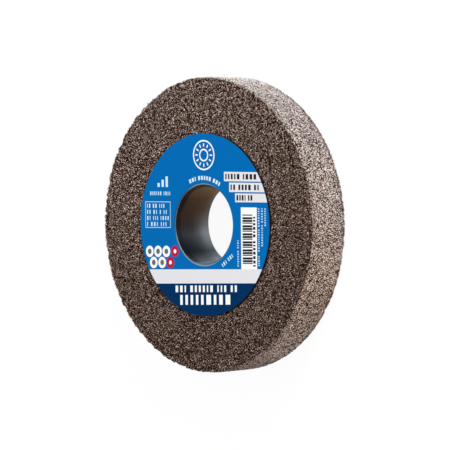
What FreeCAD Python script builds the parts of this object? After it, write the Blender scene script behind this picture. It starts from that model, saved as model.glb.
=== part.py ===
import FreeCAD, Part

import os

# A straight grinding wheel for a bench grinder, lying on its rear face.
# A pressed and fired abrasive ring carries a moulded bush in its bore and a thin
# card washer, the blotter, glued to each side face. The clamping flanges of the
# machine press on the blotters and the spindle passes through the bush.
# Millimetres. The origin is the centre of the bore on the rear blotter's outer
# face, +Z runs along the bore towards the printed front blotter, and +X and +Y
# are the print's right and top.

# Abrasive ring
WHEEL_DIAMETER = 125.0
WHEEL_WIDTH = 20.0
CORNER_RADIUS = 0.8

# Bush: its spindle bore, its wall, and the lead-in taper at each mouth
BORE_DIAMETER = 32.0
BUSH_WALL = 3.0
LEAD_IN_DEPTH = 2.0
LEAD_IN_FLARE = 1.0
BUSH_SETBACK = 0.2

# Blotters: their outside, their card, and how much of the bush's lip they show
BLOTTER_DIAMETER = 77.0
BLOTTER_THICKNESS = 0.3
LIP_SHOWING = 0.5

# Places that follow from those sizes
REAR_FACE = BLOTTER_THICKNESS
FRONT_FACE = REAR_FACE + WHEEL_WIDTH
BORE_RADIUS = BORE_DIAMETER / 2
BUSH_RADIUS = BORE_RADIUS + BUSH_WALL
MOUTH_RADIUS = BORE_RADIUS + LEAD_IN_FLARE
BLOTTER_HOLE_RADIUS = MOUTH_RADIUS + LIP_SHOWING


def turned(outline):
    """A solid of revolution about the bore's axis, from a closed outline in the XZ plane."""
    face = Part.Face(Part.Wire(outline))
    return face.revolve(FreeCAD.Vector(0, 0, 0), FreeCAD.Vector(0, 0, 1), 360)


def at(radius, height):
    """The point of an outline at that distance from the axis and that height."""
    return FreeCAD.Vector(radius, 0, height)


def line(start, end):
    """A straight edge of an outline."""
    return Part.LineSegment(start, end).toShape()


def closed_lines(points):
    """The straight edges that join the points in turn and come back to the first."""
    return [line(start, end) for start, end in zip(points, points[1:] + points[:1])]


def rounded_corner(centre, first_side, second_side):
    """A quarter circle round a centre, from one side of a right-angled corner to the other."""
    start = centre + first_side * CORNER_RADIUS
    end = centre + second_side * CORNER_RADIUS
    middle = centre + (first_side + second_side).normalize() * CORNER_RADIUS
    return Part.Arc(start, middle, end).toShape()


def abrasive_wheel():
    """The fired abrasive ring: flat sides, a seat for the bush, and both rim corners eased."""
    rim = WHEEL_DIAMETER / 2
    rim_side = FreeCAD.Vector(1, 0, 0)
    front_side = FreeCAD.Vector(0, 0, 1)
    rear_side = FreeCAD.Vector(0, 0, -1)
    rear_corner = at(rim - CORNER_RADIUS, REAR_FACE + CORNER_RADIUS)
    front_corner = at(rim - CORNER_RADIUS, FRONT_FACE - CORNER_RADIUS)
    rear_seat = at(BUSH_RADIUS, REAR_FACE)
    front_seat = at(BUSH_RADIUS, FRONT_FACE)
    return turned(
        [
            line(rear_seat, rear_corner + rear_side * CORNER_RADIUS),
            rounded_corner(rear_corner, rear_side, rim_side),
            line(
                rear_corner + rim_side * CORNER_RADIUS,
                front_corner + rim_side * CORNER_RADIUS,
            ),
            rounded_corner(front_corner, rim_side, front_side),
            line(front_corner + front_side * CORNER_RADIUS, front_seat),
            line(front_seat, rear_seat),
        ]
    )


def bore_bush():
    """The moulded lining of the bore, set back a little from both sides, its two mouths flared."""
    rear_end = REAR_FACE + BUSH_SETBACK
    front_end = FRONT_FACE - BUSH_SETBACK
    return turned(
        closed_lines(
            [
                at(BUSH_RADIUS, rear_end),
                at(BUSH_RADIUS, front_end),
                at(MOUTH_RADIUS, front_end),
                at(BORE_RADIUS, front_end - LEAD_IN_DEPTH),
                at(BORE_RADIUS, rear_end + LEAD_IN_DEPTH),
                at(MOUTH_RADIUS, rear_end),
            ]
        )
    )


def blotter(inner_face):
    """A flat card washer, its lower face at that height."""
    outer = BLOTTER_DIAMETER / 2
    top = inner_face + BLOTTER_THICKNESS
    return turned(
        closed_lines(
            [
                at(BLOTTER_HOLE_RADIUS, inner_face),
                at(outer, inner_face),
                at(outer, top),
                at(BLOTTER_HOLE_RADIUS, top),
            ]
        )
    )


def main():
    """Builds each piece and writes it to its own file."""
    os.makedirs("parts", exist_ok=True)
    pieces = {
        "abrasive_wheel": abrasive_wheel(),
        "bore_bush": bore_bush(),
        "front_blotter": blotter(FRONT_FACE),
        "rear_blotter": blotter(REAR_FACE - BLOTTER_THICKNESS),
    }
    for name, shape in pieces.items():
        shape.exportStep(f"parts/{name}.step")
        print(name, "valid", shape.isValid(), "volume", round(shape.Volume, 1))


main()
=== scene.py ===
"""The looks of a bench grinding wheel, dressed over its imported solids.

The wheel lies on its rear blotter with the printed side up. Lengths are in metres, in
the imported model's own frame: the bore runs along +Z, and the print on the front blotter
reads along +X with its top at +Y. Sizes of the print are given in millimetres.
"""

import logging
import math
from dataclasses import dataclass, field
from enum import Enum, IntEnum

import bpy
import numpy as np
from mathutils import Matrix, Vector
from mathutils.geometry import delaunay_2d_cdt


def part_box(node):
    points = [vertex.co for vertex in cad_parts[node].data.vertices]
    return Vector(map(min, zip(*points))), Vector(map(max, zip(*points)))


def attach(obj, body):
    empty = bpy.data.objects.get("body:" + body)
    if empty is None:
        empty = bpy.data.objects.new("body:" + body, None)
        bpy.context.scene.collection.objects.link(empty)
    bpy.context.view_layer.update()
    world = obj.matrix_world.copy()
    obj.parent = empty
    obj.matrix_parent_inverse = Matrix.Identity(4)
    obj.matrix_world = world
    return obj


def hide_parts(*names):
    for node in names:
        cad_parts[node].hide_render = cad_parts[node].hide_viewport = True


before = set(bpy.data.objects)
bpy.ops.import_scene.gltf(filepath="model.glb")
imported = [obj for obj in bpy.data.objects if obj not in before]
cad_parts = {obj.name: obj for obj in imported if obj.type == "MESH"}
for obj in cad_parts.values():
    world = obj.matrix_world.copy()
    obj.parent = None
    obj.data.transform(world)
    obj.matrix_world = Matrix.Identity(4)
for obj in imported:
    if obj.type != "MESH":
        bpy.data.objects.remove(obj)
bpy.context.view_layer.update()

LOG = logging.getLogger("grinding_wheel")
BODY = "root"
MM = 0.001
FULL_TURN = 2 * math.pi
GOLDEN_ANGLE = math.pi * (3 - math.sqrt(5))
PRINT_SEED = 5
BAKE_MAP = "OFBake"

# The widest swing between two points of a rounding, in radians
ROUNDING_STEP = 0.3

# Multipliers that scatter the lattice noise's coordinates, its seed and its values
LATTICE_MIX = np.array([73856093, 19349663, 83492791])
SEED_MIX = 2654435761
VALUE_MIX = 1274126177

Colour = tuple[float, float, float]
Scale = tuple[tuple[float, Colour], ...]
Spot = tuple[float, float]
Range = tuple[float, float]
Groups = tuple[int, ...]
Socket = bpy.types.NodeSocket


class Slot(Enum):
    """The record's material slots."""

    ABRASIVE = "fired_abrasive"
    BUSH = "bush_plastic"
    PRINTED_CARD = "printed_card"
    PLAIN_CARD = "plain_card"


class NoiseField(IntEnum):
    """The fields of lattice noise, each with random values of its own."""

    COARSE_LUMPS = 1
    FINE_LUMPS = 2
    BROKEN_CORNER = 3
    FRAYED_CORNER = 4
    DRESSING = 50


@dataclass(frozen=True)
class WheelSizes:
    """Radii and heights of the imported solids, in metres."""

    rim: float
    rear_face: float
    front_face: float
    seat: float
    bush_rear: float
    bush_front: float
    bore: float
    blotter_hole: float
    blotter_edge: float
    top: float
    corner: float = 0.8 * MM
    flare: float = 1.0 * MM
    flare_depth: float = 2.0 * MM

    @classmethod
    def from_frame(cls) -> "WheelSizes":
        """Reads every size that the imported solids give.

        Returns:
            The wheel's sizes.
        """
        ring_low, ring_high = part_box("abrasive_wheel")
        bush_low, bush_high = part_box("bore_bush")
        front_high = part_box("front_blotter")[1]
        hole, edge = radii_of("front_blotter")
        return cls(
            rim=ring_high.x,
            rear_face=ring_low.z,
            front_face=ring_high.z,
            seat=bush_high.x,
            bush_rear=bush_low.z,
            bush_front=bush_high.z,
            bore=radii_of("bore_bush")[0],
            blotter_hole=hole,
            blotter_edge=edge,
            top=front_high.z,
        )

    @property
    def mouth(self) -> float:
        """Radius of the bore where its flares open."""
        return self.bore + self.flare

    @property
    def middle(self) -> float:
        """Height of the ring's middle plane."""
        return (self.rear_face + self.front_face) / 2

    @property
    def half_width(self) -> float:
        """Half the ring's width."""
        return (self.front_face - self.rear_face) / 2


def radii_of(node: str) -> Range:
    """Finds how near to and how far from the bore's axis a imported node's vertices lie.

    Args:
        node: The node's name.

    Returns:
        The least and the greatest radius.
    """
    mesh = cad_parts[node].data
    places = np.empty(len(mesh.vertices) * 3, np.float32)
    mesh.vertices.foreach_get("co", places)
    places = places.reshape(-1, 3)
    radii = np.hypot(places[:, 0], places[:, 1])
    return float(radii.min()), float(radii.max())


def lattice_noise(places: np.ndarray, cell: float, seed: int) -> np.ndarray:
    """Smooth value noise: random values at a cubic lattice's corners, blended across each cell.

    A corner's three whole coordinates and the seed are mixed into one integer, whose low sixteen
    bits give the corner's value. The blend weight along an axis is 3t^2 - 2t^3, where t is the
    place within the cell.

    Args:
        places: Points, one a row.
        cell: The lattice's spacing.
        seed: Chooses one of many such fields.

    Returns:
        A value from -1 to 1 for each point.
    """
    scaled = places / cell
    corner = np.floor(scaled).astype(np.int64)
    part = scaled - corner
    weight = part * part * (3 - 2 * part)
    total = np.zeros(len(places))
    for step in np.ndindex(2, 2, 2):
        mixed = (corner + step) * LATTICE_MIX
        code = np.bitwise_xor.reduce(mixed, axis=1) ^ (seed * SEED_MIX)
        code = (code ^ (code >> 13)) * VALUE_MIX & 0x7FFFFFFF
        value = ((code ^ (code >> 11)) & 0xFFFF) / 32767.5 - 1
        share = np.where(np.array(step) == 1, weight, 1 - weight).prod(axis=1)
        total += value * share
    return total


def build_mesh(
    name: str,
    vertices: np.ndarray,
    faces: np.ndarray,
    corners_uv: np.ndarray | None = None,
    smooth: bool = False,
) -> bpy.types.Object:
    """Puts whole arrays into a new mesh object.

    Args:
        name: The piece's name.
        vertices: Places, one a row.
        faces: Vertex numbers, one face a row, all with as many corners.
        corners_uv: The bake map's place for each face corner in turn.
        smooth: Whether the faces shade smoothly.

    Returns:
        The object, linked to the scene, at the origin.
    """
    mesh = bpy.data.meshes.new(name)
    count, corners = faces.shape
    mesh.vertices.add(len(vertices))
    mesh.vertices.foreach_set("co", vertices.astype(np.float32).ravel())
    mesh.loops.add(count * corners)
    mesh.loops.foreach_set("vertex_index", faces.astype(np.int32).ravel())
    mesh.polygons.add(count)
    starts = np.arange(0, count * corners, corners, dtype=np.int32)
    mesh.polygons.foreach_set("loop_start", starts)
    mesh.polygons.foreach_set("use_smooth", np.full(count, smooth))
    if corners_uv is not None:
        layer = mesh.uv_layers.new(name=BAKE_MAP)
        layer.uv.foreach_set("vector", corners_uv.astype(np.float32).ravel())
    mesh.update(calc_edges=True)
    mesh.validate()
    piece = bpy.data.objects.new(name, mesh)
    bpy.context.scene.collection.objects.link(piece)
    return piece


def mark(piece: bpy.types.Object, name: str, values: np.ndarray) -> None:
    """Keeps a value for each vertex of a piece, for its finish to read.

    Args:
        piece: The piece.
        name: The attribute's name.
        values: The values, one for each vertex.
    """
    layer = piece.data.attributes.new(name, "FLOAT", "POINT")
    layer.data.foreach_set("value", values.astype(np.float32))


def install(piece: bpy.types.Object, node: str) -> None:
    """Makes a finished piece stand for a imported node.

    Args:
        piece: The piece.
        node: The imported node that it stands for.
    """
    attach(piece, BODY)
    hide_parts(node)
    LOG.info("%s: %d faces for %s", piece.name, len(piece.data.polygons), node)


def rounded_loop(points: list[Spot], radii: list[float], step: float) -> np.ndarray:
    """A closed outline with each corner rounded by an arc that touches both its sides.

    An arc's centre lies on the corner's bisector, at radius / sin(half the corner's angle),
    and its ends lie at radius / tan(half that angle) along the sides.

    Args:
        points: The outline's sharp corners, in order.
        radii: The rounding at each corner.
        step: The longest stretch between two points on a side.

    Returns:
        Points of the outline, one a row.
    """
    arcs = []
    corners = [np.array(point, float) for point in points]
    for index, (corner, radius) in enumerate(zip(corners, radii)):
        before = corners[index - 1] - corner
        after = corners[(index + 1) % len(corners)] - corner
        before /= np.linalg.norm(before)
        after /= np.linalg.norm(after)
        half = math.acos(float(np.clip(before @ after, -1, 1))) / 2
        bisector = (before + after) / np.linalg.norm(before + after)
        centre = corner + bisector * radius / math.sin(half)
        start = corner + before * radius / math.tan(half) - centre
        end = corner + after * radius / math.tan(half) - centre
        swing = math.pi - 2 * half
        share = np.linspace(0, 1, max(3, int(swing / ROUNDING_STEP) + 2))[:, None]
        blend = np.sin((1 - share) * swing) * start + np.sin(share * swing) * end
        arcs.append(centre + blend / math.sin(swing))
    outline = []
    for index, arc in enumerate(arcs):
        outline.append(arc)
        start, end = arc[-1], arcs[(index + 1) % len(arcs)][0]
        inner = max(1, math.ceil(float(np.linalg.norm(end - start)) / step))
        share = np.arange(1, inner)[:, None] / inner
        outline.append(start + (end - start) * share)
    return np.concatenate(outline)


def turned_grid(outline: np.ndarray, turns: int) -> np.ndarray:
    """Turns a closed outline of (radius, height) round the bore's axis.

    Args:
        outline: The outline, anticlockwise with radius to the right and height up.
        turns: How many copies stand round the circle.

    Returns:
        Places in an array of turns by outline points by 3.
    """
    angle = np.arange(turns)[:, None] * FULL_TURN / turns
    radius, height = outline[:, 0][None], outline[:, 1][None]
    across = np.cos(angle) * radius
    along = np.sin(angle) * radius
    return np.stack([across, along, height + 0 * angle], axis=2)


def turned_piece(name: str, places: np.ndarray, smooth: bool) -> bpy.types.Object:
    """Joins a turned grid, closed both ways, with quads whose normals point outwards.

    The bake map has the turn across it and the outline up it.

    Args:
        name: The piece's name.
        places: The grid, as turns by outline points by 3.
        smooth: Whether the faces shade smoothly.

    Returns:
        The piece.
    """
    turns, rows = places.shape[:2]
    turn, row = np.divmod(np.arange(turns * rows), rows)
    ahead, above = (turn + 1) % turns * rows, (row + 1) % rows
    behind = turn * rows
    faces = np.stack([behind + row, ahead + row, ahead + above, behind + above], axis=1)
    left, right = turn / turns, (turn + 1) / turns
    low, high = row / rows, (row + 1) / rows
    across = np.stack([left, right, right, left], axis=1)
    along = np.stack([low, low, high, high], axis=1)
    corners_uv = np.stack([across, along], axis=2)
    return build_mesh(name, places.reshape(-1, 3), faces, corners_uv, smooth)


def open_sides(triangles: np.ndarray, count: int) -> np.ndarray:
    """Finds the sides of triangles that no neighbour shares.

    A side has a neighbour where another triangle has it the other way round.

    Args:
        triangles: Vertex numbers, one triangle a row.
        count: How many vertices there are.

    Returns:
        Each open side's two vertices, in its triangle's order.
    """
    sides = np.concatenate([triangles[:, [0, 1]], triangles[:, [1, 2]], triangles[:, [2, 0]]])
    forwards = sides[:, 0] * count + sides[:, 1]
    backwards = sides[:, 1] * count + sides[:, 0]
    return sides[~np.isin(forwards, backwards)]


def heading(swing: float, elevation: float) -> Vector:
    """A direction of unit length.

    Args:
        swing: Its angle from +X towards +Y, in degrees.
        elevation: Its angle above the floor, in degrees.

    Returns:
        The direction.
    """
    swing, elevation = math.radians(swing), math.radians(elevation)
    flat = math.cos(elevation)
    return Vector((math.cos(swing) * flat, math.sin(swing) * flat, math.sin(elevation)))


def paint(*colour: float) -> tuple[float, float, float, float]:
    """A node colour from linear red, green and blue."""
    return (*colour, 1.0)


def even(level: float) -> Colour:
    """A colour without hue."""
    return (level, level, level)


class NodeSheet:
    """The nodes of one material or of the sky, with short ways to add and join them."""

    def __init__(self, owner: bpy.types.Material | bpy.types.World) -> None:
        """Clears the owner's nodes and gives it a new output.

        Args:
            owner: The material, or the sky.
        """
        owner.use_nodes = True
        self.owner = owner
        self.tree = owner.node_tree
        self.tree.nodes.clear()
        kind = "World" if isinstance(owner, bpy.types.World) else "Material"
        self.output = self.add("ShaderNodeOutput" + kind)

    def add(self, kind: str, settings: dict | None = None, **inputs: object) -> bpy.types.Node:
        """Adds a node.

        Args:
            kind: Blender's name for the node's type.
            settings: Values of the node's own properties.
            **inputs: Values or sockets for its inputs, named with underscores for spaces.

        Returns:
            The node.
        """
        node = self.tree.nodes.new(kind)
        for key, value in (settings or {}).items():
            setattr(node, key, value)
        for key, value in inputs.items():
            self.feed(node, key.replace("_", " "), value)
        return node

    def feed(self, node: bpy.types.Node, socket: str | int, value: object) -> None:
        """Sets one input of a node, or joins a socket to it.

        Args:
            node: The node.
            socket: The input's name or number.
            value: A value, or an output socket.
        """
        if isinstance(value, Socket):
            self.tree.links.new(value, node.inputs[socket])
        else:
            node.inputs[socket].default_value = value

    def place(self) -> Socket:
        """The piece's own coordinates, in metres."""
        return self.add("ShaderNodeTexCoord").outputs["Object"]

    def noise(self, size: float, detail: float = 2.0) -> Socket:
        """Cloudy noise, from 0 to 1.

        Args:
            size: About how far apart its light places lie, in metres.
            detail: How many finer layers it has.

        Returns:
            The noise's value.
        """
        node = self.add("ShaderNodeTexNoise", Vector=self.place(), Scale=1 / size, Detail=detail)
        return node.outputs["Fac"]

    def attribute(self, name: str) -> Socket:
        """The value of one of the mesh's own attributes."""
        return self.add("ShaderNodeAttribute", {"attribute_name": name}).outputs["Fac"]

    def ramp(self, value: object, scale: Scale) -> Socket:
        """Colours read along a scale.

        Args:
            value: The place on the scale, from 0 to 1.
            scale: Each colour's place and its linear red, green and blue.

        Returns:
            The colour.
        """
        node = self.add("ShaderNodeValToRGB")
        line = node.color_ramp.elements
        while len(line) < len(scale):
            line.new(1.0)
        for element, (place, colour) in zip(line, scale):
            element.position = place
            element.color = paint(*colour)
        self.feed(node, "Fac", value)
        return node.outputs["Color"]

    def span(
        self,
        value: object,
        low: float,
        high: float,
        start: float = 0.0,
        end: float = 1.0,
        smooth: bool = False,
    ) -> Socket:
        """Carries a value's range over to another, and stays level past both its ends.

        Args:
            value: The value.
            low: The result at the range's start.
            high: The result at its end.
            start: The range's start.
            end: The range's end.
            smooth: Whether the result eases in and out.

        Returns:
            The result.
        """
        ease = {"interpolation_type": "SMOOTHSTEP" if smooth else "LINEAR"}
        limits = {"From_Min": start, "From_Max": end, "To_Min": low, "To_Max": high}
        return self.add("ShaderNodeMapRange", ease, Value=value, **limits).outputs["Result"]

    def mix(self, share: object, first: object, second: object, blend: str = "MIX") -> Socket:
        """Blends two colours, by the mix node's colour sockets, which are numbers 6, 7 and 2.

        Args:
            share: How much of the second.
            first: The first colour.
            second: The second colour.
            blend: Blender's name for the way of blending.

        Returns:
            The blend.
        """
        node = self.add("ShaderNodeMix", {"data_type": "RGBA", "blend_type": blend})
        for socket, value in ((0, share), (6, first), (7, second)):
            self.feed(node, socket, value)
        return node.outputs[2]

    def multiply(self, first: object, second: object) -> Socket:
        """The product of two colours."""
        return self.mix(1.0, first, second, "MULTIPLY")

    def maths(self, operation: str, first: object, second: object, clamp: bool = False) -> Socket:
        """One sum on two values.

        Args:
            operation: Blender's name for it.
            first: The first value.
            second: The second value.
            clamp: Whether the result is held between 0 and 1.

        Returns:
            The result.
        """
        node = self.add("ShaderNodeMath", {"operation": operation, "use_clamp": clamp})
        self.feed(node, 0, first)
        self.feed(node, 1, second)
        return node.outputs[0]

    def bump(self, height: object, distance: float, strength: float) -> Socket:
        """Relief from a height field.

        Args:
            height: The field, from 0 to 1.
            distance: The relief's full depth, in metres.
            strength: How much of it shows.

        Returns:
            The bent normal.
        """
        node = self.add("ShaderNodeBump", Height=height, Distance=distance, Strength=strength)
        return node.outputs["Normal"]

    def show(self, shader: bpy.types.Node) -> None:
        """Joins a shader to the output."""
        self.feed(self.output, "Surface", shader.outputs[0])

    def surface(self, specular: float, **inputs: object) -> bpy.types.Material:
        """Ends the sheet in a principled surface.

        Args:
            specular: The surface's constant specular level.
            **inputs: Its other inputs.

        Returns:
            The finished material.
        """
        shader = self.add("ShaderNodeBsdfPrincipled", **inputs)
        shader.inputs["Specular IOR Level"].default_value = specular
        self.show(shader)
        return self.owner


@dataclass(frozen=True)
class GrainFinish:
    """Broken abrasive grain as it was moulded, with a glassy or dull face.

    A grain's colour is the product of four scales: its tone, which a dressing tool has made paler
    where it cut, its warmth, a painted light that is paler towards one side of the ring and darker
    towards the other, and the flecks on it.
    """

    name: str = "Fused alumina grain"
    moulded: Scale = (
        (0.0, (0.005, 0.0015, 0.0005)),
        (0.28, (0.018, 0.006, 0.003)),
        (0.50, (0.145, 0.083, 0.060)),
        (0.76, (0.490, 0.350, 0.292)),
        (1.0, (0.940, 0.810, 0.750)),
    )
    dressed: Scale = (
        (0.0, (0.010, 0.004, 0.002)),
        (0.28, (0.034, 0.013, 0.006)),
        (0.36, (0.760, 0.570, 0.470)),
        (0.55, (0.990, 0.875, 0.810)),
        (1.0, (0.990, 0.915, 0.875)),
    )
    warmth: Scale = (
        (0.0, (0.93, 0.99, 1.06)),
        (0.35, even(1.0)),
        (0.65, even(1.0)),
        (1.0, (1.05, 0.98, 0.94)),
    )
    # Painted light: the ring paler towards one side and darker towards the other
    painted_light: Scale = (
        (0.0, (0.72, 0.66, 0.63)),
        (0.5, (0.98, 0.94, 0.91)),
        (1.0, (1.17, 1.15, 1.14)),
    )
    flecks: Scale = ((0.35, even(0.55)), (0.65, even(1.4)))
    fleck_size: float = 0.20 * MM
    roughness: Range = (0.25, 0.75)
    specular: float = 0.02

    def build(self) -> bpy.types.Material:
        """Makes the finish from the grains' tone, dressing, warmth, painted light and glaze attributes.

        Returns:
            The material.
        """
        sheet = NodeSheet(bpy.data.materials.new(self.name))
        tone = sheet.attribute("tone")
        brown, pale = sheet.ramp(tone, self.moulded), sheet.ramp(tone, self.dressed)
        colour = sheet.mix(sheet.attribute("dressing"), brown, pale)
        # Warmth is the grains' own; the second scale is painted light across the ring
        for name, scale in (("warmth", self.warmth), ("painted_light", self.painted_light)):
            colour = sheet.multiply(colour, sheet.ramp(sheet.attribute(name), scale))
        colour = sheet.multiply(colour, sheet.ramp(sheet.noise(self.fleck_size), self.flecks))
        rough = sheet.span(sheet.attribute("glaze"), *self.roughness)
        return sheet.surface(self.specular, Base_Color=colour, Roughness=rough)


@dataclass(frozen=True)
class RimGrainFinish(GrainFinish):
    """The same grain on the rim, whose painted light goes by darker, browner and paler stretches round
    it.
    """

    name: str = "Dressed alumina grain"
    # Painted light round the rim: darker, browner stretches and paler ones
    painted_light: Scale = (
        (0.0, (0.38, 0.35, 0.33)),
        (0.03, (0.45, 0.41, 0.39)),
        (0.065, (0.76, 0.69, 0.65)),
        (0.19, (0.98, 0.88, 0.79)),
        (0.31, (1.18, 1.06, 0.97)),
        (0.5, (1.06, 1.01, 0.97)),
        (0.67, even(1.12)),
        (0.94, (0.82, 0.85, 0.88)),
        (1.0, (0.87, 0.92, 0.93)),
    )


@dataclass(frozen=True)
class BondFinish:
    """The dull bond between the grains: brown on the sides, and dusted on the rim by its dressing."""

    name: str = "Fired bond"
    brown: Scale = ((0.35, (0.008, 0.003, 0.001)), (0.7, (0.038, 0.018, 0.011)))
    dusted: Scale = ((0.35, (0.014, 0.005, 0.002)), (0.7, (0.060, 0.032, 0.020)))
    mottle_size: float = 0.7 * MM
    crumb_size: float = 0.15 * MM
    crumb_depth: float = 0.05 * MM
    crumb_strength: float = 0.6
    roughness: float = 0.9
    specular: float = 0.02

    def build(self) -> bpy.types.Material:
        """Makes the finish: mottled brown with a fine crumb.

        Returns:
            The material.
        """
        sheet = NodeSheet(bpy.data.materials.new(self.name))
        mottle = sheet.noise(self.mottle_size, detail=3.0)
        brown, dusted = sheet.ramp(mottle, self.brown), sheet.ramp(mottle, self.dusted)
        colour = sheet.mix(sheet.attribute("dressing"), brown, dusted)
        crumb = sheet.bump(sheet.noise(self.crumb_size), self.crumb_depth, self.crumb_strength)
        return sheet.surface(self.specular, Base_Color=colour, Roughness=self.roughness, Normal=crumb)


@dataclass(frozen=True)
class BushFinish:
    """Moulded grey plastic with a brown tint on the print's upper side, and painted light and shade in
    its colour.

    Each side is the product of two scales of colours, one along the bore, from the rear mouth to
    the front one, and one across it, from the print's bottom to its top. They hold painted light
    that is pale at the rear mouth, painted shade towards the front mouth, a painted highlight at
    the bottom, and a painted warm reflection and highlight on the brown side near the top. More
    painted shade darkens the grey side towards the front mouth, a cap keeps the painted light
    below a light grey, and the lips round the mouths have one scale across, with painted highlights.
    """

    sizes: WheelSizes
    name: str = "Bush plastic"
    # Painted light along the grey side: pale at the rear mouth, painted shade towards the front mouth
    grey_painted_light_along: Scale = (
        (0.150, even(0.600)),
        (0.250, even(0.470)),
        (0.390, even(0.200)),
        (0.540, even(0.088)),
        (0.700, even(0.052)),
        (0.855, even(0.034)),
        (0.900, even(0.018)),
    )
    # Painted light across the grey side: a painted highlight at the bottom, and a band of painted shade
    # below the middle
    grey_painted_light_across: Scale = (
        (0.022, (4.60, 6.40, 7.80)),
        (0.044, (1.80, 2.20, 2.55)),
        (0.091, (0.86, 0.94, 1.10)),
        (0.168, (0.33, 0.40, 0.48)),
        (0.265, (0.60, 0.72, 0.82)),
        (0.380, (0.88, 0.97, 1.12)),
        (0.500, (0.60, 0.62, 0.67)),
        (0.620, (0.57, 0.53, 0.51)),
    )
    # Painted shade that darkens the grey side towards the front mouth, across the bore and then along
    # it
    painted_shade_across: Scale = (
        (0.095, even(1.0)),
        (0.150, (0.50, 0.56, 0.66)),
        (0.265, (0.60, 0.64, 0.74)),
        (0.370, even(1.0)),
    )
    painted_shade_along: Range = (0.40, 0.72)
    # The brown side along the bore, painted lighter towards the rear mouth
    brown_painted_light_along: Scale = (
        (0.150, (0.175, 0.148, 0.115)),
        (0.250, (0.132, 0.088, 0.056)),
        (0.390, (0.120, 0.065, 0.035)),
        (0.540, (0.097, 0.055, 0.029)),
        (0.855, (0.066, 0.043, 0.028)),
        (0.905, (0.020, 0.014, 0.012)),
    )
    # Across the bore: the brown tint, with a painted warm reflection and highlight near the top edge
    brown_painted_highlight_across: Scale = (
        (0.735, (0.90, 0.90, 0.95)),
        (0.830, (1.10, 1.10, 1.00)),
        (0.909, (2.15, 1.75, 1.35)),
        (0.956, (2.60, 2.60, 2.20)),
        (0.970, (2.90, 3.20, 3.20)),
    )
    brown_from: Range = (-4.5 * MM, 8.0 * MM)
    brown_cover: Range = (0.85, 1.0)
    cover_size: float = 5.0 * MM
    # Caps the painted light: nothing on the wall is paler
    painted_light_ceiling: Colour = (0.50, 0.54, 0.58)
    # Painted highlights on the lips, at the bottom and at the top
    lip_painted_highlight_across: Scale = (
        (0.30, (0.30, 0.38, 0.42)),
        (0.45, (0.13, 0.17, 0.21)),
        (0.92, (0.12, 0.19, 0.25)),
        (0.98, (0.36, 0.46, 0.50)),
    )
    lip_inset: float = 0.06 * MM
    wander: float = 0.03
    wander_size: float = 6.0 * MM
    sheen: Range = (0.30, 0.48)
    sheen_size: float = 1.5 * MM
    marks_across: float = 60.0
    marks_along: float = 4000.0
    mark_depth: float = 0.03 * MM
    mark_strength: float = 0.35
    specular: float = 0.01

    def wall(self, sheet: NodeSheet, place: dict[str, Socket], side: Socket) -> Socket:
        """Mixes the wall's colour from its grey side and its brown one, both with painted light and
        shade.

        Args:
            sheet: The finish's nodes.
            place: The wall's own coordinates, by axis.
            side: The place across the bore, from 0 to 1.

        Returns:
            The colour.
        """
        wander = sheet.span(sheet.noise(self.wander_size), -self.wander, self.wander)
        level = sheet.maths("ADD", sheet.maths("DIVIDE", place["Z"], self.sizes.top), wander)
        # The grey side's painted light and shade
        grey = sheet.multiply(sheet.ramp(level, self.grey_painted_light_along), sheet.ramp(side, self.grey_painted_light_across))
        # The brown side: partly stain, partly painted reflection and highlight
        brown_highlight = sheet.ramp(side, self.brown_painted_highlight_across)
        brown = sheet.multiply(sheet.ramp(level, self.brown_painted_light_along), brown_highlight)
        # Painted shade on the grey side towards the front mouth
        painted_shaded = sheet.multiply(grey, sheet.ramp(side, self.painted_shade_across))
        grey = sheet.mix(sheet.span(level, 0.0, 1.0, *self.painted_shade_along), grey, painted_shaded)
        cover = sheet.span(sheet.noise(self.cover_size), *self.brown_cover)
        browned = sheet.span(place["Y"], 0.0, 1.0, *self.brown_from, smooth=True)
        wall = sheet.mix(sheet.maths("MULTIPLY", browned, cover), grey, brown)
        # Caps the painted light
        return sheet.mix(1.0, wall, paint(*self.painted_light_ceiling), "DARKEN")

    def build(self) -> bpy.types.Material:
        """Makes the finish: the wall and the lips with painted light and shade, and fine turning marks
        round the bore.

        Returns:
            The material.
        """
        sheet = NodeSheet(bpy.data.materials.new(self.name))
        split = sheet.add("ShaderNodeSeparateXYZ", Vector=sheet.place())
        place = {axis: split.outputs[axis] for axis in "XYZ"}
        side = sheet.maths("ADD", sheet.maths("DIVIDE", place["Y"], 2 * self.sizes.mouth), 0.5)
        flat = sheet.add("ShaderNodeCombineXYZ", X=place["X"], Y=place["Y"])
        radius = sheet.add("ShaderNodeVectorMath", {"operation": "LENGTH"}, Vector=flat.outputs[0])
        lip = sheet.maths("GREATER_THAN", radius.outputs["Value"], self.sizes.mouth + self.lip_inset)
        # The lips take their painted highlights
        colour = sheet.mix(lip, self.wall(sheet, place, side), sheet.ramp(side, self.lip_painted_highlight_across))
        rough = sheet.span(sheet.noise(self.sheen_size, detail=3.0), *self.sheen)
        marks = (self.marks_across, self.marks_across, self.marks_along)
        rings = sheet.add("ShaderNodeMapping", Vector=sheet.place(), Scale=marks)
        streak = sheet.add("ShaderNodeTexNoise", Vector=rings.outputs[0], Scale=1.0, Detail=3.0)
        relief = sheet.bump(streak.outputs["Fac"], self.mark_depth, self.mark_strength)
        return sheet.surface(self.specular, Base_Color=colour, Roughness=rough, Normal=relief)


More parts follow.
